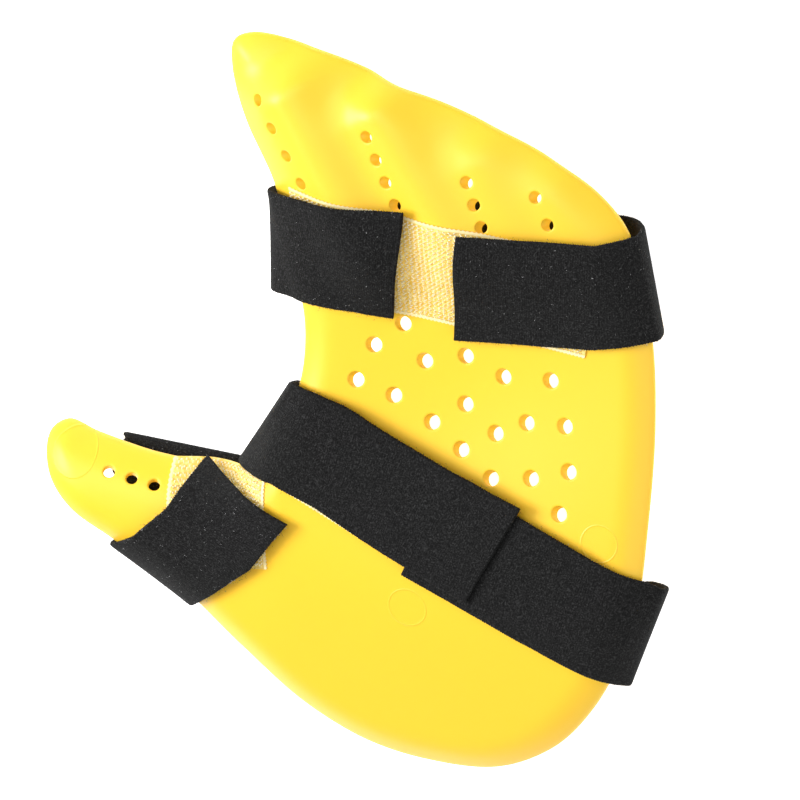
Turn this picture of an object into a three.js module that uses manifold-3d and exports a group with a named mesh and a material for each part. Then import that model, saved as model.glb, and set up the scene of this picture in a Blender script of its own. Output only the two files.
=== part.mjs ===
// Finger splint board for a left hand, with three loop-fabric straps on hook tape.
// Millimetres. +X runs across the fingers, +Y towards the fingertips, +Z is up.
// The board lies hand side down, so the face that shows is its palm side.
import * as THREE from "three";
import { mergeVertices } from "three/addons/utils/BufferGeometryUtils.js";
import Module from "manifold-3d";

const wasm = await Module();
wasm.setup();

// Driving sizes
const WIDE = 234.5; // the board across the fingers, thumb and all
const LONG = 275; // the board from heel to fingertips
const HIGH = 35.9; // the ridge of the face over the floor
const WALL = 3; // wall of the moulded shell
const GAP = 0.3; // left between two pieces that touch
const TAPE = 1.2; // hook tape with its hooks
const STRAP = 1.8; // loop fabric
const STRAP_SLACK = 0.8; // what the strap keeps over the hooks
const VENT = 5.8; // diameter of a palm hole
const GROOVE_HOLE = 4.4; // diameter of a finger or thumb hole
const MESH_STEP = 8; // spacing of the grid that the face is drawn on
const EDGE_STEP = 6.5; // spacing of the points along the outline
const DRILL_SIDES = 10;
const DRILL_REACH = 9; // how far a drill goes on either side of the face
const VENT_LEAN = { x: -0.4, y: 0.28 }; // how far the palm holes lean off the face's normal
const CUTTER_REACH = 100; // how far an outline's prism goes above and below the floor
const NORMAL_REACH = 0.5; // distance that the face's tilt is measured over
const MERGE = 1e-4; // points closer than this are one point

// In the tables below x, y and z are shares of the board's width, length and height
const toPlan = ({ x, y }) => ({ x: x * WIDE, y: y * LONG });

// The ridge across the wrist and thumb, from which the board falls off both ways
const CREST = { x: -0.06, y: -0.195, slope: -0.17 };
const HEEL_FALL = { slope: 0.325, ease: 26 };
const PALM_FALL = { slope: 0.075, ease: 20 };
const THUMB_FALL = { slope: 0.8, ease: 14, lag: 2 };
const THUMB_REACH = { inner: -0.145, outer: -0.307, start: 0.127, end: 0.218 };
const PALM_DISH = { x: 0.119, y: 0.036, wide: 40, long: 32, deep: 6.5 };
const RIM_ROLL = { width: 13, slope: 0.8 };
const FINGER_FADE = { tip: 16, root: 34 };

// Bulges over the fingers, each from tip to root
const FINGERS = [
  { name: "index", tipX: -0.179, tipY: 0.484, rootX: 0.06, rootY: 0.145, high: 9.0, wide: 10 },
  { name: "middle", tipX: -0.034, tipY: 0.473, rootX: 0.213, rootY: 0.153, high: 7.5, wide: 9 },
  { name: "ring", tipX: 0.132, tipY: 0.418, rootX: 0.307, rootY: 0.153, high: 3.6, wide: 8 },
  { name: "little", tipX: 0.252, tipY: 0.389, rootX: 0.384, rootY: 0.16, high: 2.2, wide: 7 },
];

// Rows of small holes along the fingers and the thumb, evenly spaced
const FINGER_LEAN = { x: -0.7, y: 0.25 };
const THUMB_LEAN = { x: 0.1, y: 0.1 };
const HOLE_ROWS = [
  { name: "index", x: -0.19, y: 0.427, lastX: -0.115, lastY: 0.322, holes: 4, lean: FINGER_LEAN },
  { name: "middle", x: -0.009, y: 0.396, lastX: 0.038, lastY: 0.307, holes: 4, lean: FINGER_LEAN },
  { name: "ring", x: 0.151, y: 0.347, lastX: 0.177, lastY: 0.289, holes: 3, lean: FINGER_LEAN },
  { name: "little", x: 0.26, y: 0.335, lastX: 0.281, lastY: 0.3, holes: 2, lean: FINGER_LEAN },
  { name: "thumb", x: -0.441, y: -0.116, lastX: -0.367, lastY: -0.127, holes: 3, lean: THUMB_LEAN },
];

// Palm holes
const VENTS = [
  { x: 0.043, y: 0.138 }, { x: -0.004, y: 0.105 }, { x: 0.077, y: 0.089 }, { x: 0.143, y: 0.102 },
  { x: -0.032, y: 0.055 }, { x: 0.205, y: 0.08 }, { x: 0.284, y: 0.084 }, { x: 0.028, y: 0.038 },
  { x: 0.143, y: 0.036 }, { x: 0.09, y: 0.007 }, { x: 0.245, y: 0.022 }, { x: 0.309, y: 0.025 },
  { x: 0.194, y: 0.002 }, { x: 0.139, y: -0.025 }, { x: 0.19, y: -0.058 }, { x: 0.256, y: -0.051 },
  { x: 0.318, y: -0.035 }, { x: 0.305, y: -0.093 },
];

// Outline of the board seen from above, joined by one smooth closed curve
const OUTLINE = [
  { at: "index tip", x: -0.213, y: 0.509 },
  { at: "tips", x: -0.098, y: 0.495 },
  { at: "tips", x: 0.026, y: 0.462 },
  { at: "tips", x: 0.132, y: 0.433 },
  { at: "tips", x: 0.256, y: 0.391 },
  { at: "little tip", x: 0.35, y: 0.345 },
  { at: "little tip", x: 0.403, y: 0.295 },
  { at: "far side", x: 0.423, y: 0.24 },
  { at: "far side", x: 0.446, y: 0.153 },
  { at: "far side", x: 0.454, y: 0.029 },
  { at: "far side", x: 0.446, y: -0.109 },
  { at: "far side", x: 0.433, y: -0.204 },
  { at: "heel", x: 0.399, y: -0.295 },
  { at: "heel", x: 0.345, y: -0.376 },
  { at: "heel", x: 0.271, y: -0.444 },
  { at: "heel", x: 0.171, y: -0.487 },
  { at: "heel", x: 0.055, y: -0.491 },
  { at: "heel", x: -0.047, y: -0.473 },
  { at: "heel", x: -0.145, y: -0.427 },
  { at: "heel", x: -0.243, y: -0.351 },
  { at: "thumb", x: -0.341, y: -0.269 },
  { at: "thumb", x: -0.443, y: -0.215 },
  { at: "thumb tip", x: -0.51, y: -0.178 },
  { at: "thumb tip", x: -0.546, y: -0.131 },
  { at: "thumb tip", x: -0.552, y: -0.077 },
  { at: "thumb tip", x: -0.526, y: -0.061 },
  { at: "thumb", x: -0.473, y: -0.073 },
  { at: "thumb", x: -0.375, y: -0.091 },
  { at: "web", x: -0.264, y: -0.098 },
  { at: "web", x: -0.213, y: -0.091 },
  { at: "web", x: -0.171, y: -0.051 },
  { at: "index side", x: -0.132, y: 0.036 },
  { at: "index side", x: -0.124, y: 0.109 },
  { at: "index side", x: -0.136, y: 0.178 },
  { at: "index side", x: -0.175, y: 0.305 },
  { at: "index side", x: -0.222, y: 0.385 },
  { at: "index side", x: -0.249, y: 0.455 },
  { at: "index tip", x: -0.247, y: 0.495 },
];

// Hook tapes: corners seen from above, going round
const TAPES = {
  finger_hook_tape: [
    { x: -0.139, y: 0.313 }, { x: 0.371, y: 0.262 }, { x: 0.341, y: 0.122 }, { x: -0.115, y: 0.169 },
  ],
  palm_hook_tape: [
    { x: -0.1, y: 0.033 }, { x: 0.375, y: -0.175 }, { x: 0.303, y: -0.296 }, { x: -0.175, y: -0.089 },
  ],
  thumb_hook_tape: [
    { x: -0.348, y: -0.097 }, { x: -0.177, y: -0.093 }, { x: -0.173, y: -0.218 }, { x: -0.333, y: -0.229 },
  ],
};

// Straps: edge a and edge b at each place along the strap, seen from above. Where lift is
// given the strap lies that far over the face, otherwise za and zb are how high it is over
// where it lies on the floor. steps is the number of facets to the next place.
const ON_TAPE = GAP + TAPE + STRAP_SLACK + STRAP / 2;
const ON_RIM = GAP + STRAP_SLACK + STRAP / 2;
const FLUTE_SLACK = 0.5; // more slack over the finger bulges
const ON_FLUTES = ON_TAPE + FLUTE_SLACK;
const ON_STRAP = ON_TAPE + STRAP + GAP;
const FLOOR = STRAP / 2;
const STRAPS = {
  finger_strap: [
    { at: "left end", ax: 0.059, ay: 0.304, bx: 0.034, by: 0.15, lift: ON_FLUTES, steps: 12 },
    { at: "left rim", ax: -0.174, ay: 0.302, bx: -0.134, by: 0.158, lift: ON_TAPE, steps: 2 },
    { at: "left corner", ax: -0.183, ay: 0.297, bx: -0.175, by: 0.156, za: 0.462, zb: 0.518, steps: 2 },
    { at: "left side", ax: -0.182, ay: 0.292, bx: -0.184, by: 0.152, za: 0.267, zb: 0.323, steps: 2 },
    { at: "left foot", ax: -0.166, ay: 0.289, bx: -0.168, by: 0.15, za: 0.072, zb: 0.086, steps: 2 },
    { at: "under left", ax: -0.124, ay: 0.289, bx: -0.128, by: 0.15, za: 0, zb: 0, steps: 3 },
    { at: "under right", ax: 0.358, ay: 0.292, bx: 0.38, by: 0.15, za: 0, zb: 0, steps: 2 },
    { at: "right foot", ax: 0.388, ay: 0.292, bx: 0.416, by: 0.153, za: 0.07, zb: 0.075, steps: 2 },
    { at: "right side", ax: 0.405, ay: 0.294, bx: 0.436, by: 0.154, za: 0.212, zb: 0.226, steps: 2 },
    { at: "right corner", ax: 0.416, ay: 0.295, bx: 0.452, by: 0.155, za: 0.359, zb: 0.421, steps: 2 },
    { at: "right rim", ax: 0.415, ay: 0.291, bx: 0.453, by: 0.153, lift: ON_RIM, steps: 4 },
    { at: "tape end", ax: 0.362, ay: 0.283, bx: 0.358, by: 0.139, lift: ON_FLUTES, steps: 11 },
    { at: "right end", ax: 0.145, ay: 0.28, bx: 0.13, by: 0.127, lift: ON_FLUTES, steps: 0 },
  ],
  palm_strap: [
    { at: "inner end", ax: 0.128, ay: -0.057, bx: 0.054, by: -0.197, lift: ON_TAPE, steps: 8 },
    { at: "tape end", ax: 0.345, ay: -0.137, bx: 0.287, by: -0.288, lift: ON_TAPE, steps: 5 },
    { at: "right rim", ax: 0.444, ay: -0.174, bx: 0.388, by: -0.327, lift: ON_RIM, steps: 2 },
    { at: "right corner", ax: 0.467, ay: -0.186, bx: 0.402, by: -0.332, za: 0.657, zb: 0.518, steps: 2 },
    { at: "right side", ax: 0.461, ay: -0.193, bx: 0.393, by: -0.338, za: 0.421, zb: 0.337, steps: 2 },
    { at: "right foot", ax: 0.421, ay: -0.203, bx: 0.362, by: -0.349, za: 0.125, zb: 0.103, steps: 2 },
    { at: "under right", ax: 0.38, ay: -0.209, bx: 0.322, by: -0.356, za: 0, zb: 0, steps: 4 },
    { at: "under left", ax: -0.102, ay: -0.005, bx: -0.183, by: -0.125, za: 0, zb: 0, steps: 2 },
    { at: "left foot", ax: -0.13, ay: 0.009, bx: -0.217, by: -0.111, za: 0.064, zb: 0.064, steps: 2 },
    { at: "left side", ax: -0.146, ay: 0.022, bx: -0.239, by: -0.097, za: 0.226, zb: 0.198, steps: 2 },
    { at: "left corner", ax: -0.148, ay: 0.031, bx: -0.241, by: -0.092, za: 0.462, zb: 0.351, steps: 2 },
    { at: "left rim", ax: -0.133, ay: 0.041, bx: -0.224, by: -0.089, lift: ON_TAPE, steps: 3 },
    { at: "web", ax: -0.094, ay: 0.036, bx: -0.158, by: -0.093, lift: ON_TAPE, steps: 3 },
    { at: "left palm", ax: -0.047, ay: 0.024, bx: -0.087, by: -0.118, lift: ON_TAPE, steps: 4 },
    { at: "lap", ax: 0.051, ay: -0.017, bx: -0.004, by: -0.156, lift: ON_TAPE, steps: 3 },
    { at: "over inner end", ax: 0.141, ay: -0.05, bx: 0.066, by: -0.184, lift: ON_STRAP, steps: 5 },
    { at: "outer end", ax: 0.249, ay: -0.087, bx: 0.162, by: -0.223, lift: ON_STRAP, steps: 0 },
  ],
  thumb_strap: [
    { at: "outer end", ax: -0.292, ay: -0.088, bx: -0.13, by: -0.145, lift: ON_FLUTES, steps: 5 },
    { at: "middle", ax: -0.336, ay: -0.147, bx: -0.196, by: -0.218, lift: ON_FLUTES, steps: 4 },
    { at: "lower", ax: -0.393, ay: -0.195, bx: -0.258, by: -0.26, lift: ON_TAPE, steps: 3 },
    { at: "lower rim", ax: -0.436, ay: -0.216, bx: -0.308, by: -0.292, lift: ON_RIM, steps: 2 },
    { at: "lower corner", ax: -0.449, ay: -0.223, bx: -0.319, by: -0.299, za: 0.421, zb: 0.365, steps: 2 },
    { at: "lower side", ax: -0.446, ay: -0.223, bx: -0.318, by: -0.3, za: 0.24, zb: 0.198, steps: 2 },
    { at: "lower foot", ax: -0.431, ay: -0.217, bx: -0.304, by: -0.293, za: 0.053, zb: 0.053, steps: 2 },
    { at: "under low", ax: -0.436, ay: -0.198, bx: -0.286, by: -0.271, za: 0, zb: 0, steps: 3 },
    { at: "under high", ax: -0.476, ay: -0.125, bx: -0.285, by: -0.14, za: 0, zb: 0, steps: 2 },
    { at: "upper foot", ax: -0.449, ay: -0.096, bx: -0.256, by: -0.111, za: 0.025, zb: 0.025, steps: 2 },
    { at: "upper turn", ax: -0.446, ay: -0.086, bx: -0.252, by: -0.1, za: 0.106, zb: 0.106, steps: 2 },
    { at: "upper return", ax: -0.436, ay: -0.095, bx: -0.256, by: -0.113, za: 0.184, zb: 0.192, steps: 2 },
    { at: "bonded end", ax: -0.428, ay: -0.116, bx: -0.256, by: -0.142, za: 0.281, zb: 0.365, steps: 0 },
  ],
};
const STRAP_ROWS = 4; // facets across a strap
const TAUT = 0.7; // how far a strap bridges the hollows under it: 0 follows them, 1 spans them

// Colours
const FINISH = {
  board: { color: 0xffe655, roughness: 0.38, metalness: 0 },
  strap: { color: 0x242424, roughness: 0.95, metalness: 0 },
  tape: { color: 0xf6e3a4, roughness: 0.5, metalness: 0 },
};

// Shape of the face
function easeBetween(low, high, value) {
  const share = Math.min(Math.max((value - low) / (high - low), 0), 1);
  return share * share * (3 - 2 * share);
}

function softRamp(value, ease) {
  return 0.5 * (value + Math.hypot(value, ease));
}

const outlineCurve = new THREE.CatmullRomCurve3(
  OUTLINE.map(toPlan).map(({ x, y }) => new THREE.Vector3(x, y, 0)), true, "centripetal");
const outlinePoints = outlineCurve
  .getSpacedPoints(Math.round(outlineCurve.getLength() / EDGE_STEP))
  .slice(0, -1)
  .map((point) => new THREE.Vector2(point.x, point.y));

// Distance from the rim, negative outside the board
function rimDistance(x, y) {
  let nearest = Infinity;
  let inside = false;
  outlinePoints.forEach((a, index) => {
    const b = outlinePoints[(index + 1) % outlinePoints.length];
    const along = ((x - a.x) * (b.x - a.x) + (y - a.y) * (b.y - a.y)) / a.distanceToSquared(b);
    const share = Math.min(Math.max(along, 0), 1);
    const dx = a.x + share * (b.x - a.x) - x;
    const dy = a.y + share * (b.y - a.y) - y;
    nearest = Math.min(nearest, Math.hypot(dx, dy));
    if (a.y > y !== b.y > y && x < a.x + ((y - a.y) * (b.x - a.x)) / (b.y - a.y)) inside = !inside;
  });
  return inside ? nearest : -nearest;
}

function rimDrop(x, y) {
  const { width, slope } = RIM_ROLL;
  const distance = rimDistance(x, y);
  if (distance >= width) return 0;
  if (distance < 0) return slope * (width / 2 - distance);
  return (slope * (width - distance) ** 2) / (2 * width);
}

function fingerBulge(x, y) {
  return FINGERS.reduce((sum, { tipX, tipY, rootX, rootY, high, wide }) => {
    const tip = toPlan({ x: tipX, y: tipY });
    const root = toPlan({ x: rootX, y: rootY });
    const length = Math.hypot(root.x - tip.x, root.y - tip.y);
    const alongX = (root.x - tip.x) / length;
    const alongY = (root.y - tip.y) / length;
    const along = (x - tip.x) * alongX + (y - tip.y) * alongY;
    const across = (x - tip.x) * alongY - (y - tip.y) * alongX;
    const start = easeBetween(0, FINGER_FADE.tip, along);
    const stop = 1 - easeBetween(length - FINGER_FADE.root, length, along);
    return sum + high * start * stop * Math.exp(-(across ** 2) / (2 * wide ** 2));
  }, 0);
}

function faceHeight(x, y) {
  const crest = toPlan(CREST);
  const middle = toPlan(PALM_DISH);
  const fromCrest = y - (crest.y + CREST.slope * (x - crest.x));
  const heel = HEEL_FALL.slope * softRamp(-fromCrest, HEEL_FALL.ease);
  const palm = PALM_FALL.slope * softRamp(fromCrest, PALM_FALL.ease);
  const { inner, outer, start, end } = THUMB_REACH;
  const onThumb = (1 - easeBetween(outer * WIDE, inner * WIDE, x))
    * (1 - easeBetween(start * LONG, end * LONG, fromCrest));
  const thumb = onThumb * THUMB_FALL.slope * softRamp(fromCrest - THUMB_FALL.lag, THUMB_FALL.ease);
  const acrossDish = (x - middle.x) / PALM_DISH.wide;
  const alongDish = (y - middle.y) / PALM_DISH.long;
  const dish = PALM_DISH.deep * Math.exp(-(acrossDish ** 2 + alongDish ** 2) / 2);
  return HIGH - heel - palm - thumb - dish + fingerBulge(x, y) - rimDrop(x, y);
}

function faceNormal(x, y) {
  return new THREE.Vector3(
    faceHeight(x - NORMAL_REACH, y) - faceHeight(x + NORMAL_REACH, y),
    faceHeight(x, y - NORMAL_REACH) - faceHeight(x, y + NORMAL_REACH),
    2 * NORMAL_REACH,
  ).normalize();
}

// Height over a place of a layer that lies that far off the face
function liftedHeight(x, y, lift) {
  return faceHeight(x, y) + lift / faceNormal(x, y).z;
}

// Solids
function toManifold(geometry) {
  const bare = geometry.clone();
  bare.deleteAttribute("normal");
  bare.deleteAttribute("uv");
  const merged = mergeVertices(bare, MERGE);
  return new wasm.Manifold(new wasm.Mesh({
    numProp: 3,
    vertProperties: new Float32Array(merged.attributes.position.array),
    triVerts: new Uint32Array(merged.index.array),
  }));
}

function toGeometry(manifold) {
  const mesh = manifold.getMesh();
  const geometry = new THREE.BufferGeometry();
  geometry.setAttribute("position", new THREE.BufferAttribute(mesh.vertProperties, 3));
  geometry.setIndex(new THREE.BufferAttribute(mesh.triVerts, 1));
  geometry.computeVertexNormals();
  return geometry;
}

// A closed body between two grids of points, given as rows of equal length: over and under.
// The rows run so that the upper side faces out.
function bodyBetween(over, under) {
  const rows = over.length;
  const columns = over[0].length;
  const positions = [...over.flat(), ...under.flat()].flatMap(({ x, y, z }) => [x, y, z]);
  const top = (row, column) => row * columns + column;
  const bottom = (row, column) => (rows + row) * columns + column;
  const indices = [];
  const quad = (a, b, c, d) => indices.push(a, b, c, a, c, d);
  for (let row = 0; row + 1 < rows; row += 1) {
    for (let column = 0; column + 1 < columns; column += 1) {
      quad(top(row, column), top(row, column + 1), top(row + 1, column + 1), top(row + 1, column));
      quad(bottom(row, column), bottom(row + 1, column),
        bottom(row + 1, column + 1), bottom(row, column + 1));
    }
  }
  for (let column = 0; column + 1 < columns; column += 1) {
    quad(top(0, column), bottom(0, column), bottom(0, column + 1), top(0, column + 1));
    const last = rows - 1;
    quad(top(last, column), top(last, column + 1),
      bottom(last, column + 1), bottom(last, column));
  }
  for (let row = 0; row + 1 < rows; row += 1) {
    quad(top(row, 0), top(row + 1, 0), bottom(row + 1, 0), bottom(row, 0));
    const last = columns - 1;
    quad(top(row, last), bottom(row, last), bottom(row + 1, last), top(row + 1, last));
  }
  const geometry = new THREE.BufferGeometry();
  geometry.setAttribute("position", new THREE.Float32BufferAttribute(positions, 3));
  geometry.setIndex(indices);
  return geometry;
}

// The grid of the face, the same for the board and for what is bonded to it
const outlineBox = new THREE.Box2().setFromPoints(outlinePoints).expandByScalar(MESH_STEP);
const faceGrid = [];
for (let y = outlineBox.min.y; y < outlineBox.max.y + MESH_STEP; y += MESH_STEP) {
  const row = [];
  for (let x = outlineBox.min.x; x < outlineBox.max.x + MESH_STEP; x += MESH_STEP) {
    row.push({ place: new THREE.Vector3(x, y, faceHeight(x, y)), normal: faceNormal(x, y) });
  }
  faceGrid.push(row);
}

// A layer over the face from one height to another, straight up and measured across the layer
function layerGrid(height) {
  return faceGrid.map((row) => row.map(({ place, normal }) => (
    new THREE.Vector3(place.x, place.y, place.z + height / normal.z))));
}

function prism(corners) {
  const geometry = new THREE.ExtrudeGeometry(
    new THREE.Shape(corners), { depth: 2 * CUTTER_REACH, bevelEnabled: false, steps: 1 });
  geometry.translate(0, 0, -CUTTER_REACH);
  return toManifold(geometry);
}

function makeBoard() {
  const slab = toManifold(bodyBetween(layerGrid(0), layerGrid(-WALL)));
  const drill = ({ x, y }, diameter, lean) => {
    const geometry = new THREE.CylinderGeometry(
      diameter / 2, diameter / 2, 2 * DRILL_REACH, DRILL_SIDES);
    geometry.applyQuaternion(new THREE.Quaternion().setFromUnitVectors(
      new THREE.Vector3(0, 1, 0),
      faceNormal(x, y).add(new THREE.Vector3(lean.x, lean.y, 0)).normalize()));
    geometry.translate(x, y, faceHeight(x, y) - WALL / 2);
    return toManifold(geometry);
  };
  const drills = VENTS.map((vent) => drill(toPlan(vent), VENT, VENT_LEAN));
  HOLE_ROWS.forEach(({ x, y, lastX, lastY, holes, lean }) => {
    for (let hole = 0; hole < holes; hole += 1) {
      const share = hole / (holes - 1);
      const place = toPlan({ x: x + share * (lastX - x), y: y + share * (lastY - y) });
      drills.push(drill(place, GROOVE_HOLE, lean));
    }
  });
  const shell = slab.intersect(prism(outlinePoints));
  return toGeometry(drills.reduce((body, tool) => body.subtract(tool), shell));
}

function makeTape(corners) {
  const layer = toManifold(bodyBetween(layerGrid(GAP + TAPE), layerGrid(GAP)));
  const shape = corners.map(toPlan).map(({ x, y }) => new THREE.Vector2(x, y));
  return toGeometry(layer.intersect(prism(shape)));
}

// Heights of a line pulled tight over a run of heights, at evenly spaced places
function tightOver(heights) {
  const hull = [];
  heights.forEach((height, place) => {
    while (hull.length > 1) {
      const [first, second] = hull.slice(-2);
      const rise = (second.height - first.height) * (place - first.place);
      if (rise > (height - first.height) * (second.place - first.place)) break;
      hull.pop();
    }
    hull.push({ place, height });
  });
  return heights.map((_, place) => {
    const next = Math.max(hull.findIndex((point) => point.place >= place), 1);
    const from = hull[next - 1];
    const to = hull[next];
    return from.height + ((to.height - from.height) * (place - from.place)) / (to.place - from.place);
  });
}

// Middle line of a strap on one of its rows, share 0 at edge a and 1 at edge b
function strapLine(places, share) {
  const between = (a, b, part) => a + (b - a) * part;
  const onRow = places.map((place) => ({
    ...place,
    ...toPlan({ x: between(place.ax, place.bx, share), y: between(place.ay, place.by, share) }),
  }));
  const line = [];
  onRow.forEach((place, index) => {
    const next = onRow[index + 1];
    if (place.lift === undefined) {
      line.push({ ...place, z: FLOOR + HIGH * between(place.za, place.zb, share) });
      return;
    }
    if (next === undefined || next.lift === undefined) {
      line.push({ ...place, z: liftedHeight(place.x, place.y, place.lift) });
      return;
    }
    for (let step = 0; step < place.steps; step += 1) {
      const part = step / place.steps;
      const x = between(place.x, next.x, part);
      const y = between(place.y, next.y, part);
      const z = liftedHeight(x, y, between(place.lift, next.lift, part));
      line.push({ x, y, z, lift: true, steps: 1 });
    }
  });
  // Pull each run on the face tight over the hollows
  let start = 0;
  while (start < line.length) {
    let end = start;
    while (end < line.length && line[end].lift !== undefined) end += 1;
    if (end - start > 2) {
      const run = line.slice(start, end);
      const tight = tightOver(run.map(({ z }) => z));
      run.forEach((point, index) => { point.z = between(point.z, tight[index], TAUT); });
    }
    start = end + 1;
  }
  const curve = new THREE.CatmullRomCurve3(
    line.map(({ x, y, z }) => new THREE.Vector3(x, y, z)), false, "centripetal");
  const at = (share) => {
    const point = curve.getPoint(share);
    return point.setZ(Math.max(point.z, FLOOR));
  };
  const count = line.length - 1;
  return line.flatMap(({ steps }, index) => {
    if (index === count) return [at(1)];
    return Array.from({ length: steps }, (_, step) => at((index + step / steps) / count));
  });
}

function makeStrap(places) {
  const rows = Array.from({ length: STRAP_ROWS + 1 }, (_, row) => (
    strapLine(places, row / STRAP_ROWS)));
  const normals = rows.map((row, rowIndex) => row.map((_, column) => {
    const along = row[Math.min(column + 1, row.length - 1)].clone()
      .sub(row[Math.max(column - 1, 0)]);
    const across = rows[Math.min(rowIndex + 1, STRAP_ROWS)][column].clone()
      .sub(rows[Math.max(rowIndex - 1, 0)][column]);
    return across.cross(along).normalize();
  }));
  const side = (distance) => rows.map((row, rowIndex) => row.map((point, column) => (
    point.clone().addScaledVector(normals[rowIndex][column], distance))));
  const geometry = bodyBetween(side(-STRAP / 2), side(STRAP / 2));
  geometry.computeVertexNormals();
  return geometry;
}

// Assembly
const group = new THREE.Group();
group.name = "finger_splint_board";

function addPiece(name, geometry, finish) {
  const mesh = new THREE.Mesh(geometry, new THREE.MeshStandardMaterial(finish));
  mesh.name = name;
  group.add(mesh);
}

addPiece("splint_board", makeBoard(), FINISH.board);
Object.entries(TAPES).forEach(([name, corners]) => {
  addPiece(name, makeTape(corners), FINISH.tape);
});
Object.entries(STRAPS).forEach(([name, places]) => {
  addPiece(name, makeStrap(places), FINISH.strap);
});

// The origin is the middle of what the part rests on
const whole = new THREE.Box3().setFromObject(group);
const middle = whole.getCenter(new THREE.Vector3());
group.children.forEach((mesh) => {
  mesh.geometry.translate(-middle.x, -middle.y, -whole.min.z);
});

export default group;
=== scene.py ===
"""Looks of a finger splint board: a yellow moulded shell with black straps on hook tape.

Lengths in the size classes are millimetres, in the plan of the part's source. Places in the
tables are shares of the board's width, length and height, as in the part's source.
+X runs across the fingers, +Y towards the fingertips and +Z is up, out of the face that shows.
The hand goes against the other, hollow side. Shell, straps and tapes all follow one worked-out
face, so their meshes are worked out from it too.
"""

import logging
import math
from dataclasses import dataclass
from enum import Enum
from typing import Any, Iterable, Optional, Sequence

import bpy
import numpy as np
from mathutils import Matrix, Vector, geometry


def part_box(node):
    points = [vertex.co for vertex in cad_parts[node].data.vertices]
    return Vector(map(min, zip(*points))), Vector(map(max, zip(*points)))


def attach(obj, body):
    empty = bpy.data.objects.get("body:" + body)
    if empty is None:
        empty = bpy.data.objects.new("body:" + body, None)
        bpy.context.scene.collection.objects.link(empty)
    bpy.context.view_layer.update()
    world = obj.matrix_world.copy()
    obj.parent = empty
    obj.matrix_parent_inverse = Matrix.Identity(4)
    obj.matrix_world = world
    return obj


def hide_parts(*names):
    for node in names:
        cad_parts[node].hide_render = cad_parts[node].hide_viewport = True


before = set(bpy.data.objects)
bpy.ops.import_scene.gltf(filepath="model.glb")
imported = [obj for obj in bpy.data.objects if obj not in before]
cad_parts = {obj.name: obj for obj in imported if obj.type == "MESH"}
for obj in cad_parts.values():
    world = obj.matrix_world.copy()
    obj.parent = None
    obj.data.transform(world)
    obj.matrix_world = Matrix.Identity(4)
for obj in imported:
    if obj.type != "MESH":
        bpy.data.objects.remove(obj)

LOG = logging.getLogger("splint")
MM = 0.001
SEED = 11
FLAT = "flat_cut"
SHARP = math.radians(60)  # an edge bent more than this is drawn sharp
TILT_REACH = 0.4  # distance that the face's tilt is measured over
CHUNK = 2000  # places measured against the rim at a time
RIM_SAMPLES = 16  # spline samples from one outline point to the next
RIM_STEP = 1.4  # spacing of the points along the rim
Points = np.ndarray
Colour = tuple[float, float, float, float]


def linear(hex_colour: str) -> Colour:
    """Turn an sRGB colour into the linear one that shaders take.

    Args:
        hex_colour: Six hex digits.

    Returns:
        Red, green, blue and full opacity.
    """
    shares = [int(hex_colour[place:place + 2], 16) / 255 for place in (0, 2, 4)]
    red, green, blue = (
        share / 12.92 if share <= 0.04045 else ((share + 0.055) / 1.055) ** 2.4
        for share in shares
    )
    return red, green, blue, 1.0


def ease_between(low: float, high: float, value: Points) -> Points:
    """Rise smoothly from 0 at low to 1 at high.

    Args:
        low: Value where the rise starts.
        high: Value where it ends.
        value: Values to place between them.

    Returns:
        Shares from 0 to 1.
    """
    share = np.clip((value - low) / (high - low), 0, 1)
    return share * share * (3 - 2 * share)


def soft_ramp(value: Points, ease: float) -> Points:
    """Follow 0 below 0 and the value above it, with a rounded corner.

    Args:
        value: Values to follow.
        ease: Width of the rounded corner.

    Returns:
        The ramp's heights.
    """
    return 0.5 * (value + np.hypot(value, ease))


def smooth_line(points: Points, spans: Sequence[int], closed: bool = False) -> Points:
    """Run a centripetal spline through points.

    Args:
        points: Control points in the last two axes.
        spans: Number of samples from each point to the next.
        closed: Whether the last point joins the first.

    Returns:
        Samples in the place of the control points.
    """
    if closed:
        ring = [np.roll(points, shift, axis=-2) for shift in (1, 0, -1, -2)]
        before, start, end, after = ring
    else:
        first = 2 * points[..., :1, :] - points[..., 1:2, :]
        last = 2 * points[..., -1:, :] - points[..., -2:-1, :]
        row = np.concatenate([first, points, last], axis=-2)
        before, start = row[..., :-3, :], row[..., 1:-2, :]
        end, after = row[..., 2:-1, :], row[..., 3:, :]
    gap = [
        np.maximum(np.linalg.norm(b - a, axis=-1, keepdims=True), 1e-9) ** 0.5
        for a, b in ((before, start), (start, end), (end, after))
    ]
    leave = ((start - before) / gap[0] - (end - before) / (gap[0] + gap[1])
             + (end - start) / gap[1]) * gap[1]
    arrive = ((end - start) / gap[1] - (after - start) / (gap[1] + gap[2])
              + (after - end) / gap[2]) * gap[1]
    square = 3 * (end - start) - 2 * leave - arrive
    cube = 2 * (start - end) + leave + arrive
    parts = []
    for span, count in enumerate(spans):
        share = (np.arange(count) / count)[:, None]
        pick = (Ellipsis, slice(span, span + 1), slice(None))
        parts.append(start[pick] + share * (leave[pick] + share * (square[pick] + share * cube[pick])))
    if not closed:
        parts.append(points[..., -1:, :])
    return np.concatenate(parts, axis=-2)


def tight_over(heights: Points) -> Points:
    """Pull a line tight over heights at evenly spaced places.

    Args:
        heights: Heights to stay over.

    Returns:
        Heights of the tight line.
    """
    hull: list[tuple[int, float]] = []
    for place, height in enumerate(heights):
        while len(hull) > 1:
            (first, low), (second, high) = hull[-2:]
            if (high - low) * (place - first) > (height - low) * (second - first):
                break
            hull.pop()
        hull.append((place, float(height)))
    places, tops = zip(*hull)
    return np.interp(np.arange(len(heights)), places, tops)


# Shape of the board's face, as in the part's source


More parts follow.
